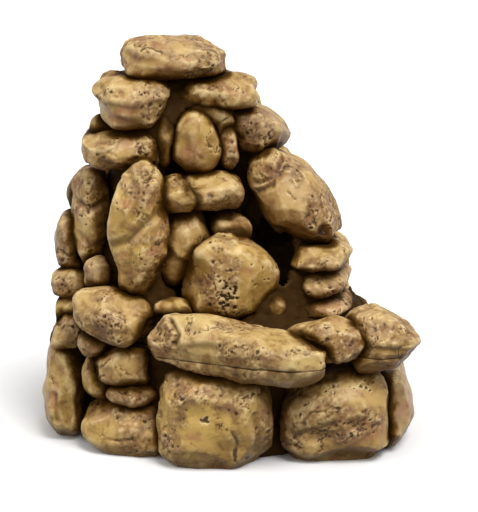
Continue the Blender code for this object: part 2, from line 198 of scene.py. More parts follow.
def shifted(points, size, seed):
    """Points in units of size, moved to a part of the noise that belongs to the seed."""
    place = random.Random(seed)
    offset = np.array([place.uniform(-90, 90) for _ in range(3)])
    return (points / size + offset).tolist()


def waves(points, size, seed):
    """Smooth noise from about -1 to 1, with waves of this size."""
    return np.array([noise.noise(p) for p in shifted(points, size, seed)])


def grain(points, size, seed, octaves=4):
    """Noise with finer and finer waves, the largest of this size."""
    return np.array([noise.fractal(p, 0.9, 2.1, octaves) for p in shifted(points, size, seed)])


def cells(points, size, seed):
    """Distance to the nearest of the centres strewn about this far apart, in units of the size."""
    return np.array([noise.voronoi(p)[0][0] for p in shifted(points, size, seed)])


# ---------------------------------------------------------------- marks that single stones carry


def on_front(points, low, high):
    """Where points lie on the stone seen from the front: across and up, each from 0 to 1."""
    across = (points[:, 0] - low[0]) / (high[0] - low[0])
    up = (points[:, 2] - low[2]) / (high[2] - low[2])
    return np.stack([across, up], axis=1)


class Front:
    """The front of a stone, as its marks see it."""

    def __init__(self, points, low, high, seed):
        self.size = np.array([high[0] - low[0], high[2] - low[2]])
        self.seed = seed
        drift = np.stack([waves(points, 7 * MM, seed + 1), waves(points, 7 * MM, seed + 2)], axis=1)
        shake = np.stack([waves(points, 2 * MM, seed + 3), waves(points, 2 * MM, seed + 4)], axis=1)
        self.flat = on_front(points, low, high) * self.size
        self.places = self.flat + drift * 1.6 * MM + shake * 0.6 * MM
        self.calm = self.flat + drift * 0.5 * MM
        self.strength = 0.55 + 0.6 * waves(points, 6 * MM, seed + 5)

    def distance_to_line(self, line, places):
        """Distance from a line through places on the front, each across and up from 0 to 1."""
        nearest = np.full(len(places), np.inf)
        for start, end in zip(line, line[1:]):
            start, end = np.array(start) * self.size, np.array(end) * self.size
            along = end - start
            offsets = places - start
            share = np.clip(offsets @ along / (along @ along), 0, 1)
            nearest = np.minimum(nearest, np.linalg.norm(offsets - share[:, None] * along, axis=1))
        return nearest

    def distance_to_spot(self, spot, reach):
        """Distance from a place on the front, in units of the reach across and up."""
        offset = (self.calm / self.size - np.array(spot)) / np.array(reach)
        return np.linalg.norm(offset, axis=1)


def crack(line, width=0.9, depth=0.8):
    """A crack along a line, with width and depth in millimetres: how deep it is, and how dark."""

    def cut(front):
        distance = front.distance_to_line(line, front.places)
        near = 1 - smooth_step(distance, 0.1 * width * MM, width * MM)
        depths = depth * MM * near * np.clip(front.strength, 0.1, 1)
        return depths, depths * 0.8

    return cut


def groove(line, width=4.0, depth=1.5):
    """A wide soft groove along a line, which holds only a little wash. A negative depth makes a ridge."""

    def cut(front):
        near = 1 - smooth_step(front.distance_to_line(line, front.calm), 0, width * MM)
        depths = depth * MM * near
        return depths, np.maximum(depths, 0) * 0.2

    return cut


def hollow(centre, reach, depth=2.0):
    """A soft hollow round a place: reach is across and up. A negative depth makes a boss."""

    def cut(front):
        depths = depth * MM * (1 - smooth_step(front.distance_to_spot(centre, reach), 0.1, 1))
        return depths, np.maximum(depths, 0) * 0.1

    return cut


def pits(centre, reach, count, width=1.0, depth=1.0):
    """A cluster of small pits round a place, with width and depth in millimetres."""

    def cut(front):
        place = random.Random(front.seed + count)
        total = np.zeros(len(front.places))
        for _ in range(count):
            spot = np.array([place.gauss(c, r / 2) for c, r in zip(centre, reach)]) * front.size
            radius = width * MM * place.uniform(0.35, 1.0)
            distance = np.linalg.norm(front.places - spot, axis=1)
            total = np.maximum(total, depth * MM * (1 - smooth_step(distance, 0.3 * radius, radius)))
        return total, total

    return cut


MARKS = {
    "cap_stone": [
        crack([(0.12, 0.74), (0.25, 0.8), (0.42, 0.72)]),
        groove([(0.1, 0.62), (0.35, 0.58), (0.6, 0.66), (0.9, 0.6)], 4.0, 1.2),
        pits((0.8, 0.4), (0.1, 0.2), 12, 1.3, 1.3),
        hollow((0.78, 0.38), (0.12, 0.3), 2.0),
    ],
    "left_block_stone": [
        pits((0.72, 0.74), (0.2, 0.06), 9, 0.8, 0.9),
        hollow((0.35, 0.35), (0.45, 0.3), 1.6),
        groove([(0.0, 0.72), (0.5, 0.62), (1.0, 0.72)], 3.5, -1.4),
    ],
    "left_slab_stone": [
        groove([(0.15, 0.62), (0.5, 0.66), (0.9, 0.58)], 3.0, -1.0),
        hollow((0.6, 0.3), (0.3, 0.2), 1.2),
    ],
    "egg_stone": [crack([(0.54, 0.42), (0.66, 0.34)], 1.2, 0.6), hollow((0.3, 0.55), (0.16, 0.4), 0.8)],
    "crown_stone": [
        crack([(0.34, 0.4), (0.4, 0.22)], 1.1, 1.0),
        hollow((0.68, 0.55), (0.1, 0.3), 1.5),
        pits((0.66, 0.55), (0.12, 0.25), 10, 0.8, 0.7),
    ],
    "right_shoulder_stone": [
        pits((0.5, 0.5), (0.3, 0.3), 22, 1.1, 1.0),
        hollow((0.42, 0.45), (0.3, 0.3), 2.4),
        groove([(0.6, 0.95), (0.78, 0.55), (0.74, 0.1)], 3.0, -1.8),
    ],
    "flank_tall_stone": [
        pits((0.45, 0.6), (0.25, 0.1), 14, 0.9, 0.9),
        groove([(0.1, 0.72), (0.5, 0.64), (0.95, 0.7)], 3.5, 1.8),
        groove([(0.3, 0.4), (0.55, 0.3), (0.6, 0.1)], 3.0, 1.2),
    ],
    "leaf_stone": [
        groove([(0.1, 0.44), (0.35, 0.5), (0.52, 0.58), (0.82, 0.66)], 4.4, 1.7),
        crack([(0.3, 0.47), (0.52, 0.57), (0.72, 0.6)], 1.0, 0.8),
        groove([(0.3, 0.95), (0.46, 0.8), (0.4, 0.66)], 4.0, 1.0),
        hollow((0.62, 0.42), (0.26, 0.12), -1.6),
        pits((0.6, 0.28), (0.25, 0.16), 22, 0.7, 0.7),
        pits((0.3, 0.75), (0.2, 0.1), 10, 0.8, 0.8),
    ],
    "platform_stone": [
        groove([(0.0, 0.66), (0.35, 0.6), (0.7, 0.62), (1.0, 0.72)], 3.0, -1.6),
        hollow((0.45, 0.85), (0.5, 0.2), 1.6),
        pits((0.72, 0.4), (0.14, 0.2), 18, 0.6, 0.5),
    ],
    "niche_wedge_large": [groove([(0.1, 0.9), (0.5, 0.5), (0.95, 0.3)], 3.5, -1.5)],
    "centre_stone": [
        hollow((0.52, 0.93), (0.14, 0.1), 1.6),
        groove([(0.28, 0.72), (0.34, 0.45), (0.44, 0.12)], 3.2, -1.5),
        groove([(0.64, 0.82), (0.66, 0.55), (0.8, 0.3)], 3.4, -1.2),
        pits((0.47, 0.36), (0.1, 0.26), 40, 1.4, 1.8),
        pits((0.55, 0.14), (0.2, 0.08), 18, 0.9, 1.0),
        pits((0.8, 0.62), (0.1, 0.16), 8, 0.8, 0.9),
        hollow((0.15, 0.5), (0.2, 0.4), 1.8),
    ],
    "right_tall_stone": [
        hollow((0.3, 0.8), (0.16, 0.08), 2.2),
        groove([(0.1, 0.7), (0.3, 0.78), (0.5, 0.9)], 3.2, 1.6),
        groove([(0.1, 0.62), (0.26, 0.7), (0.42, 0.98)], 3.0, 1.8),
        groove([(0.5, 0.8), (0.5, 0.5), (0.42, 0.2)], 3.6, -2.2),
        hollow((0.28, 0.2), (0.25, 0.16), 2.2),
        hollow((0.66, 0.44), (0.1, 0.16), 1.8),
        hollow((0.8, 0.25), (0.1, 0.12), 4.0),
        pits((0.78, 0.26), (0.13, 0.14), 26, 1.1, 1.4),
        pits((0.68, 0.45), (0.06, 0.12), 12, 0.9, 1.0),
    ],
    "disc_upper": [pits((0.6, 0.42), (0.4, 0.2), 24, 0.8, 0.8)],
    "disc_middle": [pits((0.55, 0.4), (0.4, 0.2), 20, 0.9, 0.8)],
    "disc_lower": [pits((0.5, 0.5), (0.4, 0.3), 14, 0.8, 0.8)],
    "long_stone": [
        hollow((0.1, 0.72), (0.1, 0.22), 2.2),
        pits((0.1, 0.72), (0.08, 0.18), 24, 1.0, 1.0),
        groove([(0.18, 0.95), (0.22, 0.8), (0.2, 0.62)], 2.6, 2.0),
        pits((0.46, 0.62), (0.08, 0.08), 20, 0.7, 0.7),
        hollow((0.36, 0.62), (0.12, 0.14), 1.6),
        crack([(0.58, 0.5), (0.7, 0.58), (0.76, 0.52)], 0.9, 0.6),
        pits((0.5, 0.14), (0.45, 0.08), 30, 0.6, 0.5),
    ],
    "middle_rim_stone": [
        groove([(0.1, 0.8), (0.3, 0.66), (0.46, 0.4), (0.55, 0.1)], 3.6, 3.0),
        pits((0.75, 0.4), (0.16, 0.16), 10, 0.7, 0.6),
    ],
    "corner_stone": [
        pits((0.4, 0.75), (0.3, 0.14), 16, 0.8, 0.7),
        hollow((0.68, 0.7), (0.12, 0.12), 1.6),
        groove([(0.05, 0.45), (0.4, 0.52), (0.95, 0.46)], 2.5, 1.0),
    ],
    "beak_stone": [
        hollow((0.35, 0.3), (0.25, 0.3), 2.4),
        groove([(0.1, 0.62), (0.4, 0.7), (0.8, 0.62)], 3.2, -1.5),
        pits((0.4, 0.5), (0.3, 0.25), 22, 0.8, 0.8),
    ],
    "clam_upper": [
        crack([(0.06, 0.5), (0.2, 0.72), (0.3, 0.8)], 1.2, 1.2),
        crack([(0.4, 0.6), (0.5, 0.45)], 1.0, 0.8),
    ],
    "base_left_stone": [
        crack([(0.28, 0.4), (0.45, 0.33), (0.62, 0.4)], 1.2, 1.2),
        groove([(0.2, 0.55), (0.45, 0.6), (0.7, 0.5), (0.9, 0.3)], 3.2, -1.5),
        hollow((0.8, 0.62), (0.2, 0.2), 2.0),
    ],
    "front_block": [
        pits((0.42, 0.56), (0.05, 0.05), 5, 1.8, 1.6),
        hollow((0.5, 0.9), (0.4, 0.14), 2.0),
        crack([(0.64, 0.46), (0.68, 0.3), (0.67, 0.12)], 1.6, 1.0),
        groove([(0.82, 0.62), (0.86, 0.4), (0.84, 0.16)], 3.0, 1.2),
        crack([(0.72, 0.2), (0.78, 0.12)], 1.4, 0.9),
        hollow((0.3, 0.66), (0.2, 0.18), 1.0),
        pits((0.5, 0.85), (0.4, 0.08), 26, 0.7, 0.7),
    ],
    "right_front_block": [
        crack([(0.2, 0.5), (0.28, 0.62), (0.44, 0.68), (0.5, 0.66)], 1.1, 1.0),
        groove([(0.12, 0.35), (0.3, 0.42), (0.46, 0.5)], 3.2, 1.6),
        hollow((0.68, 0.48), (0.14, 0.12), 2.2),
        hollow((0.32, 0.36), (0.2, 0.14), 2.2),
        pits((0.68, 0.46), (0.16, 0.1), 22, 1.1, 1.3),
        pits((0.36, 0.38), (0.2, 0.12), 26, 1.0, 1.1),
        pits((0.6, 0.85), (0.3, 0.06), 14, 0.9, 0.9),
    ],
    "left_post_stone": [
        hollow((0.4, 0.75), (0.3, 0.2), 2.4),
        groove([(0.78, 0.95), (0.7, 0.5), (0.78, 0.1)], 3.2, -1.6),
        groove([(0.3, 0.5), (0.36, 0.25)], 3.0, 1.2),
    ],
    "far_right_stone": [pits((0.5, 0.6), (0.4, 0.3), 12, 0.7, 0.6)],
}


# Faces that single stones are known for: the way each faces, and the share of the stone's reach it keeps.
FACES = {
    "cap_stone": [((0.5, -0.1, 0.87), 0.7), ((-0.6, 0.0, -0.8), 0.85), ((0.0, -0.7, 0.7), 0.86)],
    "left_block_stone": [
        ((-0.7, -0.1, -0.7), 0.82),
        ((0.8, 0.0, -0.6), 0.86),
        ((0.0, -0.5, 0.85), 0.86),
    ],
    "left_slab_stone": [((0.0, -0.6, 0.8), 0.86), ((-0.5, -0.2, -0.85), 0.84)],
    "crown_stone": [((-0.65, -0.2, 0.75), 0.74), ((0.6, -0.1, -0.8), 0.84), ((0.1, -0.7, 0.7), 0.84)],
    "right_shoulder_stone": [
        ((0.6, -0.1, 0.8), 0.8),
        ((-0.2, -0.95, 0.2), 0.82),
        ((0.75, -0.65, -0.1), 0.84),
    ],
    "right_tall_stone": [
        ((0.8, -0.2, 0.6), 0.86),
        ((-0.5, -0.8, 0.3), 0.82),
        ((-0.2, -0.6, -0.8), 0.82),
    ],
    "flank_tall_stone": [
        ((-0.7, -0.4, 0.6), 0.84),
        ((0.5, -0.8, -0.2), 0.86),
        ((-0.6, -0.3, -0.7), 0.84),
    ],
    "leaf_stone": [((-0.6, -0.6, 0.5), 0.86), ((0.6, -0.75, 0.2), 0.86), ((0.5, -0.5, -0.7), 0.84)],
    "platform_stone": [((-0.1, -0.5, 0.85), 0.8), ((0.5, -0.8, -0.3), 0.8), ((-0.5, -0.5, -0.7), 0.8)],
    "centre_stone": [((0.5, -0.2, 0.85), 0.88), ((-0.6, -0.75, 0.1), 0.84), ((0.7, -0.7, -0.1), 0.86)],
    "long_stone": [((0.6, 0.0, 0.8), 0.76), ((0.1, -0.75, 0.65), 0.86), ((-0.6, -0.1, -0.8), 0.84)],
    "middle_rim_stone": [((0.5, -0.3, 0.8), 0.84), ((-0.5, -0.8, 0.3), 0.84)],
    "corner_stone": [((0.75, 0.0, 0.65), 0.82), ((0.0, -0.75, 0.65), 0.86)],
    "beak_stone": [((-0.7, -0.1, -0.7), 0.78), ((0.7, -0.2, -0.7), 0.82), ((0.2, -0.7, 0.7), 0.84)],
    "clam_upper": [((-0.5, -0.3, 0.8), 0.82), ((0.2, -0.8, -0.5), 0.84)],
    "base_left_stone": [((-0.7, -0.2, 0.7), 0.76), ((-0.7, -0.1, -0.7), 0.8), ((0.3, -0.7, 0.7), 0.84)],
    "front_block": [((-0.65, -0.3, 0.7), 0.86), ((0.1, -0.65, 0.75), 0.86), ((0.8, -0.6, 0.0), 0.88)],
    "right_front_block": [
        ((-0.6, -0.5, 0.6), 0.86),
        ((0.1, -0.7, -0.7), 0.86),
        ((0.65, -0.65, 0.4), 0.86),
    ],
    "left_post_stone": [((-0.3, -0.9, 0.3), 0.86), ((0.7, -0.7, 0.0), 0.88)],
}


# Where single stones are rough or smooth: the middle of a patch, its reach, and how rough it is, 0 to 1.
PATCHES = {
    "cap_stone": [
        ((0.82, 0.4), (0.25, 0.6), 1),
        ((0.35, 0.35), (0.3, 0.4), 0),
        ((0.3, 0.85), (0.3, 0.2), 0.7),
    ],
    "left_block_stone": [((0.3, 0.35), (0.4, 0.4), 0), ((0.75, 0.8), (0.3, 0.25), 0.9)],
    "crown_stone": [((0.45, 0.5), (0.25, 0.6), 1), ((0.85, 0.5), (0.2, 0.5), 0)],
    "right_shoulder_stone": [((0.35, 0.5), (0.4, 0.7), 1), ((0.88, 0.45), (0.2, 0.6), 0)],
    "egg_stone": [((0.5, 0.5), (1.2, 1.2), 0)],
    "flank_tall_stone": [((0.5, 0.75), (0.5, 0.25), 1), ((0.4, 0.35), (0.4, 0.2), 0.1)],
    "leaf_stone": [
        ((0.45, 0.88), (0.4, 0.14), 0.9),
        ((0.5, 0.62), (0.5, 0.14), 0),
        ((0.55, 0.25), (0.4, 0.2), 0.8),
    ],
    "platform_stone": [((0.4, 0.8), (0.5, 0.25), 0), ((0.7, 0.4), (0.35, 0.3), 0.9)],
    "niche_wedge_large": [((0.5, 0.5), (1.0, 1.0), 0.15)],
    "step_stone": [((0.5, 0.5), (1.0, 1.0), 0.1)],
    "centre_stone": [
        ((0.42, 0.45), (0.26, 0.45), 1),
        ((0.75, 0.5), (0.2, 0.45), 0),
        ((0.2, 0.7), (0.14, 0.2), 0.1),
    ],
    "right_tall_stone": [
        ((0.35, 0.5), (0.25, 0.35), 0),
        ((0.78, 0.35), (0.28, 0.4), 1),
        ((0.2, 0.85), (0.2, 0.14), 0.9),
    ],
    "long_stone": [
        ((0.12, 0.65), (0.12, 0.35), 1),
        ((0.3, 0.55), (0.1, 0.35), 0.1),
        ((0.52, 0.6), (0.14, 0.3), 1),
        ((0.85, 0.35), (0.18, 0.3), 0),
    ],
    "middle_rim_stone": [((0.72, 0.5), (0.3, 0.5), 0.9), ((0.25, 0.5), (0.2, 0.5), 0.1)],
    "corner_stone": [((0.4, 0.75), (0.4, 0.25), 0.9), ((0.7, 0.4), (0.3, 0.25), 0.1)],
    "beak_stone": [((0.4, 0.45), (0.4, 0.45), 0.9), ((0.8, 0.75), (0.2, 0.2), 0.1)],
    "base_left_stone": [((0.25, 0.5), (0.3, 0.4), 0.1), ((0.75, 0.6), (0.25, 0.3), 0.9)],
    "front_block": [
        ((0.5, 0.88), (0.5, 0.2), 1),
        ((0.5, 0.4), (0.4, 0.32), 0.1),
        ((0.9, 0.4), (0.12, 0.4), 0.8),
    ],
    "right_front_block": [
        ((0.5, 0.5), (0.45, 0.28), 1),
        ((0.6, 0.12), (0.45, 0.16), 0),
        ((0.6, 0.86), (0.35, 0.12), 0.2),
    ],
    "left_post_stone": [((0.5, 0.5), (0.8, 0.6), 0.1)],
    "far_right_stone": [((0.5, 0.4), (0.7, 0.6), 0.15)],
    "disc_upper": [((0.6, 0.4), (0.4, 0.5), 0.8)],
    "disc_middle": [((0.6, 0.4), (0.4, 0.5), 0.7)],
}


# ---------------------------------------------------------------- the surface of one stone


def facets(points, corners, box, name, seed):
    """Pushes a stone back to its flat, worn faces. Corners are the CAD vertices of the whole stone."""
    low, high = box
    centre, half = (low + high) / 2, (high - low) / 2
    unit = (points - centre) / half
    unit_corners = (corners - centre) / half
    place = random.Random(seed)
    chance = []
    for _ in range(FACETS):
        facing = [place.gauss(0, 1) for _ in range(3)]
        chance.append((facing, 1 - place.uniform(*FACET_CUTS)))
    for facing, kept in FACES.get(name, []) + chance:
        direction = np.array(facing) / np.linalg.norm(facing)
        level = np.max(unit_corners @ direction) * kept
        excess = np.maximum(unit @ direction - level, 0)
        unit = unit - excess[:, None] * direction * FACET_PUSH
    return centre + unit * half


def roughness(points, name, box, seed):
    """0 where a stone is smooth, up to 1 where it is rough."""
    rough = smooth_step(waves(points, 17 * MM, seed + 1), -0.12, 0.2)
    front = Front(points, *box, seed + 20)
    for centre, reach, amount in PATCHES.get(name, []):
        inside = 1 - smooth_step(front.distance_to_spot(centre, reach), 0.55, 1)
        rough = rough + inside * (amount - rough)
    return rough


def undulations(points, shortest, rough, seed):
    """Swelling, lumps and ripples of a stone, which go with its shortest side and its roughness."""
    swell = waves(points, max(shortest * 0.6, 9 * MM), seed + 2) * shortest * 0.07
    lumps = waves(points, max(shortest * 0.3, 5 * MM), seed + 3) * shortest * 0.03
    ripple = waves(points, 4.5 * MM, seed + 4) * (0.12 + 0.3 * rough) * MM
    return swell + lumps + ripple


def pitting(points, rough, seed):
    """Depths of the pits in rough places, and of the fine cracks anywhere."""
    wander = grain(points, 2.2 * MM, seed + 6, 3)
    coarse = cells(points, 4.0 * MM, seed + 7) + 0.14 * wander
    fine = cells(points, 2.2 * MM, seed + 8) + 0.14 * wander
    pitted = rough * smooth_step(waves(points, 8 * MM, seed + 9), 0.0, 0.3)
    large_pits = pitted * (1 - smooth_step(coarse, 0.1, 0.36)) * 0.9 * MM
    small_pits = pitted * (1 - smooth_step(fine, 0.08, 0.4)) * 0.55 * MM
    lines = np.abs(waves(points, 15 * MM, seed + 10) + 0.16 * wander)
    broken = smooth_step(waves(points, 11 * MM, seed + 11), 0.12, 0.4)
    cracks = broken * (1 - smooth_step(lines, 0.01, 0.07)) * 0.6 * MM
    return np.maximum(large_pits, small_pits), cracks


def own_marks(points, normals, name, box, seed):
    """How deep the marks of a stone's front cut, and how dark they are painted."""
    cut = np.zeros(len(points))
    painted = np.zeros(len(points))
    facing = smooth_step(-normals[:, 1], 0.05, 0.45)
    for number, mark in enumerate(MARKS.get(name, [])):
        depths, shades = mark(Front(points, *box, seed + 20 + 10 * number))
        cut = np.maximum(cut, depths * facing) + np.minimum(depths * facing, 0)
        painted = np.maximum(painted, shades * facing)
    return cut, painted


def stone_relief(points, normals, name, box, seed):
    """For the points of a stone: the move along the normal, the depth in a cavity, and the roughness."""
    rough = roughness(points, name, box, seed)
    texture = grain(points, 2.8 * MM, seed + 5)
    chips = texture * (0.07 + 0.36 * rough) * MM
    holes, cracks = pitting(points, rough, seed)
    cut, painted = own_marks(points, normals, name, box, seed)
    relief = undulations(points, min(box[1] - box[0]), rough, seed) + chips - np.maximum(holes, cracks) - cut

    settled = smooth_step(-texture, 0.12, 0.75) * (0.1 + 0.5 * rough) * MM
    cavity = np.maximum(np.maximum(holes, cracks * 0.8), np.maximum(painted, settled))
    return relief, cavity, rough


def rubble_relief(points, seed):
    """Relief of the rubble packed between the stones, and how deep a point lies in it."""
    wander = grain(points, 6 * MM, seed, 3)
    large = 1 - smooth_step(cells(points, 12 * MM, seed + 1) + 0.12 * wander, 0.1, 0.72)
    small = 1 - smooth_step(cells(points, 5.5 * MM, seed + 2) + 0.12 * wander, 0.1, 0.7)
    chips = grain(points, 3 * MM, seed + 3) * 0.3 * MM
    depth = 1 - np.clip(0.75 * large + 0.35 * small, 0, 1)
    return large * 2.4 * MM + small * 1.2 * MM + chips, depth


def fine_mesh(node, voxel):
    """A closed mesh of a CAD node in small, even faces."""
    maker = bpy.data.objects.new("maker", frame["nodes"][node].data.copy())
    bpy.context.scene.collection.objects.link(maker)
    remesh = maker.modifiers.new("fine", "REMESH")
    remesh.mode = "VOXEL"
    remesh.voxel_size = voxel
    graph = bpy.context.evaluated_depsgraph_get()
    mesh = bpy.data.meshes.new_from_object(maker.evaluated_get(graph))
    bpy.data.objects.remove(maker)
    return mesh


def flat_levels(node):
    """Heights of a node's flat faces: its foot on the ground and its side of the parting line."""
    low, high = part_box(node)
    levels = []
    if low.z < 0.5 * MM:
        levels.append(low.z)
    if node.endswith("_top"):
        levels.append(low.z)
    if node.endswith("_bottom"):
        levels.append(high.z)
    return levels


def flatness(points, levels):
    """0 on a flat face, rising to 1 a little above or below it."""
    free = np.ones(len(points))
    for level in levels:
        free = np.minimum(free, smooth_step(np.abs(points[:, 2] - level), 0.3 * MM, SEAM_REACH))
    return free


def attribute(mesh, name, values):
    """Keeps one number for each vertex, for the materials to read."""
    layer = mesh.attributes.new(name, "FLOAT", "POINT")
    layer.data.foreach_set("value", np.ascontiguousarray(values, dtype=np.float32))


def far_apart(node, other, reach):
    """True if the boxes of two CAD nodes are further apart than the reach."""
    low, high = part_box(node)
    other_low, other_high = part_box(other)
    return any(
        other_low[axis] > high[axis] + reach or other_high[axis] < low[axis] - reach
        for axis in range(3)
    )


def surroundings(node):
    """A search tree of every other CAD node whose box comes within reach of this one."""
    reach = CREVICE_REACH * 1.5
    others = [other for other in frame["nodes"] if whole_stone(other) != whole_stone(node)]
    return tree_of(other for other in others if not far_apart(node, other, reach))


def crevice_depth(points, tree):
    """1 where a neighbour touches, thinning out to 0 over the reach of the wash and painted shade."""
    if tree is None:
        return np.zeros(len(points))
    closeness = np.zeros(len(points))
    for index, place in enumerate(points.tolist()):
        _, _, _, distance = tree.find_nearest(place, CREVICE_REACH)
        if distance is not None:
            closeness[index] = 1 - distance / CREVICE_REACH
    return closeness


def sight_lines():
    """Directions spread evenly over a sphere, and how much light comes from each."""
    index = np.arange(SIGHT_LINES) + 0.5
    height = 1 - 2 * index / SIGHT_LINES
    turn = index * math.pi * (1 + math.sqrt(5))
    flat = np.sqrt(1 - height * height)
    lines = np.stack([np.cos(turn) * flat, np.sin(turn) * flat, height], axis=1)
    return lines, np.where(height > -0.1, 1.0, 0.2)


def shade_at(points, normals, tree):
    """0 in the open, up to 1 where stones block the light from above and around."""
    lines, weights = sight_lines()
    aim = np.clip(normals @ lines.T, 0, None)
    shares = aim * weights
    starts = points + normals * SIGHT_START
    rays = [Vector(line) for line in lines]
    light = np.zeros(len(points))
    for number, start in enumerate(starts.tolist()):
        for ray in np.nonzero(shares[number] > LEAST_SHARE)[0]:
            if tree.ray_cast(start, rays[ray], SIGHT_LENGTH)[0] is None:
                light[number] += shares[number, ray]
    return 1 - np.clip(light / (0.95 * aim.sum(axis=1)), 0, 1)


def recess_depth(node, points, edges):
    """How shaded each point of a piece is: measured at the CAD vertices and spread from there."""
    mesh = frame["nodes"][node].data
    corners = points_of(mesh)
    shade = shade_at(corners, normals_of(mesh), TREE)
    nearest = KDTree(len(corners))
    for number, corner in enumerate(corners.tolist()):
        nearest.insert(corner, number)
    nearest.balance()
    found = np.empty(len(points))
    for number, point in enumerate(points.tolist()):
        near = nearest.find_n(point, 4)
        shares = [1 / (distance + MM) for _, _, distance in near]
        found[number] = sum(share * shade[index] for share, (_, index, _) in zip(shares, near)) / sum(shares)
    return relaxed(found, edges, RECESS_ROUNDS)


def measured(mesh, node, points, depth, rough, crevice, edges, tone):
    """Stores what the paint reads at each vertex, from crevices and cavities to the stone's own tone."""
    normals = normals_of(mesh)
    wide = relaxed(points, edges, RIDGE_ROUNDS)
    bulge = np.einsum("ij,ij->i", points - wide, normals) / RIDGE_HEIGHT
    attribute(mesh, "crevice", crevice)
    attribute(mesh, "cavity", np.clip(depth / CAVITY_DEPTH, 0, 1))
    attribute(mesh, "ridge", np.clip(bulge, -1, 1))
    attribute(mesh, "rough", rough)
    # how far other stones block the light at each point, which the paint turns into painted shade
    attribute(mesh, "recess", recess_depth(node, points, edges))
    # which way each point faces, which the paint uses for painted light on top and painted shade below
    attribute(mesh, "upward", normals[:, 2])
    attribute(mesh, "tone", np.full(len(points), tone))


def place_piece(name, mesh, node, material):
    """Puts a piece in the scene in place of its CAD node."""
    mesh.materials.clear()
    mesh.materials.append(material)
    mesh.shade_smooth()
    piece = bpy.data.objects.new(name, mesh)
    bpy.context.scene.collection.objects.link(piece)
    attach(piece, body_of(node))
    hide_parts(node)
    return piece


def whole_corners(node):
    """The CAD vertices of a whole stone, over both its halves if the parting line cuts it."""
    halves = [n for n in sorted(frame["nodes"]) if whole_stone(n) == whole_stone(node)]
    return np.concatenate([points_of(frame["nodes"][half].data) for half in halves])


def rounded_foot(points, box):
    """Draws a standing stone in towards its middle near the ground."""
    middle = (box[0][:2] + box[1][:2]) / 2
    half = np.min(box[1][:2] - box[0][:2]) / 2
    share = 1 - (1 - smooth_step(points[:, 2], -FOOT_HEIGHT / 2, FOOT_HEIGHT)) * FOOT_ROUNDING / half
    drawn = points.copy()
    drawn[:, :2] = middle + (points[:, :2] - middle) * share[:, None]
    return drawn


def weathered_stone(node, seed, material):
    """A stone as it was cast: worn round, pitted, cracked, and measured for its paint."""
    mesh = fine_mesh(node, VOXEL)
    edges = edges_of(mesh)
    start = points_of(mesh)
    corners = whole_corners(node)
    box = (corners.min(axis=0), corners.max(axis=0))
    free = flatness(start, flat_levels(node))
    points = relaxed(start, edges, int(2 * (RELAX_LENGTH / VOXEL) ** 2))
    points = relaxed(facets(points, corners, box, whole_stone(node), seed), edges, SOFTENING)
    points[:, 2] = start[:, 2] + (points[:, 2] - start[:, 2]) * free
    move_points(mesh, points)

    normals = normals_of(mesh)
    relief, cavity, rough = stone_relief(points, normals, whole_stone(node), box, seed)
    shift = normals * (relief + SHRINKAGE)[:, None]
    shift[:, 2] *= free
    points = points + shift
    if start[:, 2].min() < MM:
        points = rounded_foot(points, box)
    move_points(mesh, points)

    crevice = relaxed(crevice_depth(points, surroundings(node)), edges, CREVICE_SOFTENING)
    tone = random.Random(seed).uniform(0, 1)
    measured(mesh, node, points, cavity, rough, crevice, edges, tone)
    return place_piece(f"painted_{node}", mesh, node, material)


def outside(points, normals, node):
    """1 for points on the outside of a hollow casting, from where a level line of sight gets away from it."""
    tree = tree_of([node])
    turns = [Vector((math.cos(turn), math.sin(turn), 0)) for turn in np.arange(8) * math.pi / 4]
    starts = (points + normals * MM).tolist()
    free = [any(tree.ray_cast(start, line)[0] is None for line in turns) for start in starts]
    return np.array(free, dtype=float)


def rough_casting(node, seed, material):
    """One of the two hollow castings behind the stones: rubble outside, plain inside and at the joint."""
    mesh = fine_mesh(node, SHELL_VOXEL)
    edges = edges_of(mesh)
    points = relaxed(points_of(mesh), edges, 2)
    move_points(mesh, points)
    normals = normals_of(mesh)
    relief, depth = rubble_relief(points, seed)
    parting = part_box("long_stone_top")[0].z
    exposed = outside(points, normals, node)
    if node == "base_shell":
        exposed = exposed * (points[:, 2] < parting - 0.5 * MM)
    exposed = np.minimum(relaxed(exposed, edges, 2), exposed)
    plain = grain(points, 7 * MM, seed + 4) * 0.25 * MM * (np.abs(points[:, 2] - parting) > PLAIN_JOINT)
    shift = normals * (relief * exposed + plain * (1 - exposed))[:, None]
    shift[:, 2] *= flatness(points, [0, parting])
    points = points + shift
    move_points(mesh, points)
    crevice = crevice_depth(points, surroundings(node))
    measured(mesh, node, points, depth * CAVITY_DEPTH * exposed, exposed, crevice, edges, 0.5)
    return place_piece(f"painted_{node}", mesh, node, material)


# ---------------------------------------------------------------- materials


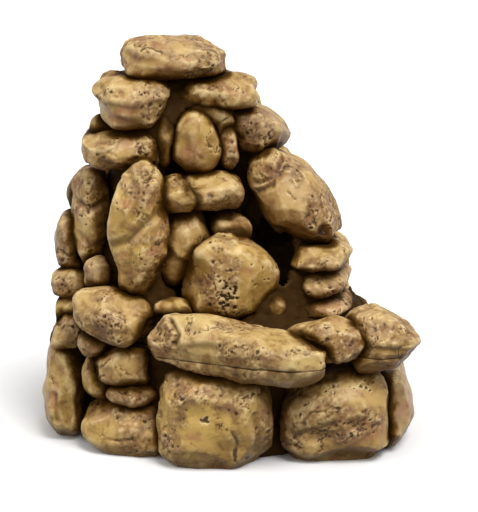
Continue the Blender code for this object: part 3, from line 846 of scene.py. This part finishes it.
class Paint:
    """A node tree that is built up layer by layer over one colour."""

    def __init__(self, name):
        self.material = bpy.data.materials.new(name)
        self.material.use_nodes = True
        self.tree = self.material.node_tree
        self.shader = self.tree.nodes["Principled BSDF"]
        self.place = self.node("ShaderNodeTexCoord").outputs["Object"]

    def node(self, kind, **settings):
        """A new node with its settings."""
        made = self.tree.nodes.new(kind)
        for key, value in settings.items():
            setattr(made, key, value)
        return made

    def link(self, source, target):
        """Joins two sockets."""
        self.tree.links.new(source, target)

    def fill(self, socket, value):
        """Gives a socket a number, a colour or another node's output."""
        if isinstance(value, bpy.types.NodeSocket):
            self.link(value, socket)
        else:
            socket.default_value = value

    def measured(self, name):
        """A number that the mesh keeps at each vertex."""
        return self.node("ShaderNodeAttribute", attribute_name=name).outputs["Fac"]

    def noise(self, size, detail=3.0, roughness=0.55, distortion=0.0):
        """Noise from 0 to 1 with waves of this size in metres."""
        made = self.node("ShaderNodeTexNoise")
        self.link(self.place, made.inputs["Vector"])
        made.inputs["Scale"].default_value = 1 / size
        made.inputs["Detail"].default_value = detail
        made.inputs["Roughness"].default_value = roughness
        made.inputs["Distortion"].default_value = distortion
        return made.outputs["Fac"]

    def sum(self, operation, first, second):
        """Two numbers put together by a Math node."""
        made = self.node("ShaderNodeMath", operation=operation)
        self.fill(made.inputs[0], first)
        self.fill(made.inputs[1], second)
        return made.outputs[0]

    def ramp(self, value, low, high, start=0.0, end=1.0):
        """Goes smoothly from start to end as the value goes from low to high."""
        made = self.node("ShaderNodeMapRange", interpolation_type="SMOOTHSTEP")
        self.link(value, made.inputs["Value"])
        made.inputs["From Min"].default_value = low
        made.inputs["From Max"].default_value = high
        made.inputs["To Min"].default_value = start
        made.inputs["To Max"].default_value = end
        return made.outputs["Result"]

    def over(self, share, below, above, blend="MIX"):
        """The colour above laid over the one below by this share."""
        made = self.node("ShaderNodeMix", data_type="RGBA", blend_type=blend)
        self.fill(made.inputs["Factor"], share)
        self.fill(made.inputs["A"], below)
        self.fill(made.inputs["B"], above)
        return made.outputs["Result"]

    def bump(self, height, strength, distance, below=None):
        """A bump of this height in metres, on top of another if there is one."""
        made = self.node("ShaderNodeBump")
        made.inputs["Strength"].default_value = strength
        made.inputs["Distance"].default_value = distance
        self.link(height, made.inputs["Height"])
        if below is not None:
            self.link(below, made.inputs["Normal"])
        return made.outputs["Normal"]


def colour(red, green, blue):
    """A colour from linear parts."""
    return (red, green, blue, 1.0)


# dark brown of the wash in pits and cracks, also used as painted shade in recesses and close to other stones
WASH_AND_SHADE = colour(0.042, 0.018, 0.0018)
# brown of the wash, also used as painted shade under overhangs and where other stones shade a point
UMBER = colour(0.170, 0.074, 0.010)
STAIN = colour(0.165, 0.064, 0.013)
DUSK = colour(0.240, 0.118, 0.052)
HIGHLIGHT = colour(0.78, 0.58, 0.28)
BLUSH = colour(0.42, 0.18, 0.085)
GREY = colour(0.29, 0.20, 0.12)

# The three tones of each stone paint: its main one, a second one in patches, and the blush over them
TONES = {
    "ochre_paint": (colour(0.60, 0.385, 0.10), colour(0.47, 0.28, 0.07), BLUSH),
    "tan_paint": (colour(0.56, 0.355, 0.115), colour(0.42, 0.245, 0.07), BLUSH),
    "beige_paint": (colour(0.64, 0.45, 0.17), colour(0.50, 0.32, 0.10), BLUSH),
    "pink_paint": (colour(0.54, 0.30, 0.12), colour(0.45, 0.215, 0.085), GREY),
    "grey_paint": (colour(0.46, 0.31, 0.135), colour(0.37, 0.235, 0.10), BLUSH),
}
RESIN = (colour(0.115, 0.062, 0.022), colour(0.085, 0.043, 0.014))
RUBBLE = (colour(0.12, 0.063, 0.017), colour(0.08, 0.038, 0.008))


def base_coat(paint, mottle, main, second, blush):
    """Two earthy tones and a blush in large patches, dusky where rough, pale on top with painted light and
    dry-brushing, and stained.
    """
    rough = paint.measured("rough")
    patches = paint.sum("ADD", paint.noise(24 * MM, 3), paint.sum("MULTIPLY", paint.measured("tone"), 0.22))
    base = paint.over(paint.ramp(patches, 0.42, 0.72), main, second)
    base = paint.over(paint.ramp(paint.noise(15 * MM, 4, 0.6, 0.8), 0.5, 0.66, 0, 0.7), base, blush)
    dusky = paint.ramp(paint.noise(11 * MM, 5, 0.65, 0.5), 0.3, 0.62, 0, 0.85)
    base = paint.over(paint.sum("MULTIPLY", rough, dusky), base, DUSK)
    # painted light together with dry-brushing: faces that turn upwards are made paler
    top = paint.ramp(paint.measured("upward"), 0.1, 0.9)
    lit_and_brushed_tops = paint.sum("MULTIPLY", top, paint.ramp(mottle, 0.3, 0.6, 0.4, 0.05))
    base = paint.over(lit_and_brushed_tops, base, HIGHLIGHT)
    base = paint.over(paint.ramp(mottle, 0.48, 0.7, 0, 0.62), base, STAIN)
    return paint.over(paint.ramp(paint.noise(1.3 * MM, 4, 0.7), 0.58, 0.74, 0, 0.5), base, STAIN)


def dry_brushed(paint, mottle, base):
    """Pale paint on the ridges."""
    ridges = paint.ramp(paint.measured("ridge"), 0.05, 0.6)
    brushed = paint.sum("MULTIPLY", ridges, paint.ramp(mottle, 0.35, 0.6, 0.75, 0.15))
    return paint.over(brushed, base, HIGHLIGHT)


def washed_and_shaded(paint, uneven, shaded, deep, base):
    """Painted shade under overhangs and in shadows, wash and painted shade between stones, wash in pits and
    cracks.
    """
    # painted shade on faces that turn downwards
    under = paint.ramp(paint.sum("SUBTRACT", uneven, paint.measured("upward")), 0.0, 0.9, 0, 0.55)
    base = paint.over(under, base, UMBER)
    # painted shade where other stones block the light, from the recess measured with lines of sight
    sheltered = paint.sum("ADD", paint.measured("recess"), uneven)
    base = paint.over(paint.ramp(sheltered, 0.42, 0.8, 0, 0.8), base, UMBER)
    base = paint.over(paint.ramp(sheltered, 0.7, 1.0, 0, 0.85), base, WASH_AND_SHADE)
    # wash and painted shade close to the next stone
    base = paint.over(paint.ramp(shaded, 0.15, 0.65, 0, 0.75), base, UMBER)
    base = paint.over(paint.sum("MULTIPLY", deep, 0.95), base, WASH_AND_SHADE)
    raised = paint.sum("MULTIPLY", paint.measured("ridge"), 0.3)
    hollowed = paint.ramp(paint.sum("SUBTRACT", paint.measured("cavity"), raised), 0.15, 0.85)
    return paint.over(paint.sum("MULTIPLY", hollowed, 0.88), base, WASH_AND_SHADE)


def satin_finish(paint, shaded, deep):
    """Uneven gloss, which is lost in rough and dark places, over fine pores."""
    gloss = paint.ramp(paint.noise(4 * MM, 4), 0.3, 0.75, 0.32, 0.5)
    dull = paint.sum("MULTIPLY", paint.sum("ADD", deep, paint.measured("rough")), 0.1)
    paint.link(paint.sum("ADD", gloss, dull), paint.shader.inputs["Roughness"])
    paint.link(paint.ramp(shaded, 0.1, 0.6, 0.32, 0.04), paint.shader.inputs["Specular IOR Level"])
    pores = paint.bump(paint.noise(0.9 * MM, 5, 0.65), 0.5, 0.25 * MM)
    finish = paint.bump(paint.noise(3.2 * MM, 4, 0.6), 0.45, 0.6 * MM, pores)
    paint.link(finish, paint.shader.inputs["Normal"])


def stone_paint(name, main, second, blush):
    """Cast resin painted as weathered stone, in the order of the real paint: coat, dry brush and wash, with
    painted light and shade.
    """
    paint = Paint(name)
    mottle = paint.noise(7 * MM, 5, 0.62, 0.6)
    uneven = paint.sum("MULTIPLY", paint.sum("SUBTRACT", mottle, 0.5), 0.6)
    # close to the next stone, where both the wash and painted shade go
    shaded = paint.sum("ADD", paint.measured("crevice"), uneven)
    deep = paint.ramp(shaded, 0.35, 0.86)

    base = base_coat(paint, mottle, main, second, blush)
    base = dry_brushed(paint, mottle, base)
    base = washed_and_shaded(paint, uneven, shaded, deep, base)
    paint.link(base, paint.shader.inputs["Base Color"])
    satin_finish(paint, shaded, deep)
    return paint.material


def casting_paint(name):
    """The hollow castings: dark rubble outside with wash and painted shade, and plain brown resin inside."""
    paint = Paint(name)
    crevice = paint.measured("crevice")
    cavity = paint.measured("cavity")
    outer = paint.measured("rough")
    mottle = paint.noise(6 * MM, 5, 0.65)
    resin = paint.over(paint.ramp(mottle, 0.4, 0.7), *RESIN)
    rubble = paint.over(paint.ramp(mottle, 0.4, 0.7), *RUBBLE)
    rubble = paint.over(paint.ramp(cavity, 0.15, 0.75, 0, 0.96), rubble, WASH_AND_SHADE)
    # wash and painted shade close to the stones
    rubble = paint.over(paint.ramp(crevice, 0.25, 0.8, 0, 0.9), rubble, WASH_AND_SHADE)
    # painted shade where the stones block the light
    rubble = paint.over(paint.ramp(paint.measured("recess"), 0.3, 0.6, 0, 0.95), rubble, WASH_AND_SHADE)
    paint.link(paint.over(outer, resin, rubble), paint.shader.inputs["Base Color"])
    paint.link(paint.ramp(mottle, 0.2, 0.8, 0.6, 0.8), paint.shader.inputs["Roughness"])
    paint.shader.inputs["Specular IOR Level"].default_value = 0.1
    finish = paint.bump(paint.noise(1.6 * MM, 5, 0.7), 0.8, 0.6 * MM)
    paint.link(finish, paint.shader.inputs["Normal"])
    return paint.material


def make_paints():
    """One material for each paint that the record names."""
    paints = {name: stone_paint(name, *tones) for name, tones in TONES.items()}
    paints["dark_wash"] = casting_paint("dark_wash")
    return paints


# ---------------------------------------------------------------- stage, light and camera


def plain_material(name, shade, roughness):
    """A plain material for what isn't part of the object."""
    made = bpy.data.materials.new(name)
    made.use_nodes = True
    shader = made.node_tree.nodes["Principled BSDF"]
    shader.inputs["Base Color"].default_value = colour(shade, shade, shade)
    shader.inputs["Roughness"].default_value = roughness
    return made


def make_floor():
    """A plain white floor, large enough to fill the view behind the object."""
    mesh = bpy.data.meshes.new("floor")
    corners = [(x * FLOOR_REACH, y * FLOOR_REACH, 0) for x, y in ((-1, -1), (1, -1), (1, 1), (-1, 1))]
    mesh.from_pydata(corners, [], [(0, 1, 2, 3)])
    mesh.materials.append(plain_material("floor", 0.95, 0.9))
    floor = bpy.data.objects.new("floor", mesh)
    bpy.context.scene.collection.objects.link(floor)
    floor.location.z = -FLOOR_DROP
    floor.visible_diffuse = False


def make_sun(name, direction, spread, strength):
    """A soft light from far away, which falls evenly on the whole floor."""
    light = bpy.data.lights.new(name, "SUN")
    light.angle = math.radians(spread)
    light.energy = strength
    lamp = bpy.data.objects.new(name, light)
    bpy.context.scene.collection.objects.link(lamp)
    lamp.rotation_mode = "QUATERNION"
    lamp.rotation_quaternion = Vector(direction).to_track_quat("-Z", "Y")


def make_surround():
    """A studio that is white above the floor and darker below it, so that undersides stay in shade."""
    world = bpy.data.worlds.new("surround")
    world.use_nodes = True
    tree = world.node_tree
    place = tree.nodes.new("ShaderNodeTexCoord")
    split = tree.nodes.new("ShaderNodeSeparateXYZ")
    height = tree.nodes.new("ShaderNodeMapRange")
    tree.links.new(place.outputs["Generated"], split.inputs["Vector"])
    tree.links.new(split.outputs["Z"], height.inputs["Value"])
    height.inputs["From Min"].default_value = HORIZON[0]
    height.inputs["From Max"].default_value = HORIZON[1]
    height.inputs["To Min"].default_value = SHADE_BELOW
    height.inputs["To Max"].default_value = WHITE_ABOVE
    tree.links.new(height.outputs["Result"], tree.nodes["Background"].inputs["Strength"])
    tree.nodes["Background"].inputs["Color"].default_value = colour(1, 1, 1)
    bpy.context.scene.world = world


def make_lights():
    """A high soft key, a weaker light from the left, and the white surround."""
    make_sun("key", (-0.35, 0.45, -1.0), 30, 2.3)
    make_sun("fill", (0.9, 0.35, -0.7), 45, 0.6)
    make_surround()
    bpy.context.scene.view_settings.view_transform = "Standard"


def make_camera():
    """The camera, level with a viewer who looks slightly down on the ornament from the front."""
    aim = Vector(CAMERA_AIM)
    elevation = math.radians(CAMERA_ELEVATION)
    camera = bpy.data.objects.new("camera", bpy.data.cameras.new("camera"))
    bpy.context.scene.collection.objects.link(camera)
    back = Vector((0, -math.cos(elevation), math.sin(elevation)))
    camera.location = aim + back * CAMERA_DISTANCE
    camera.rotation_mode = "QUATERNION"
    camera.rotation_quaternion = (-back).to_track_quat("-Z", "Y")
    camera.data.sensor_width = SENSOR
    camera.data.lens = LENS
    bpy.context.scene.camera = camera


# ---------------------------------------------------------------- the scene


def make_object():
    """Every stone and both castings, in the order of their names."""
    paints = make_paints()
    stones = sorted({whole_stone(node) for node in frame["nodes"]})
    for node in sorted(frame["nodes"]):
        seed = 100 * (1 + stones.index(whole_stone(node)))
        material = paints[slot_of(node)]
        if node in SHELLS:
            rough_casting(node, seed, material)
        else:
            weathered_stone(node, seed, material)


TREE = tree_of(sorted(frame["nodes"]))
make_camera()
make_lights()
make_floor()
make_object()
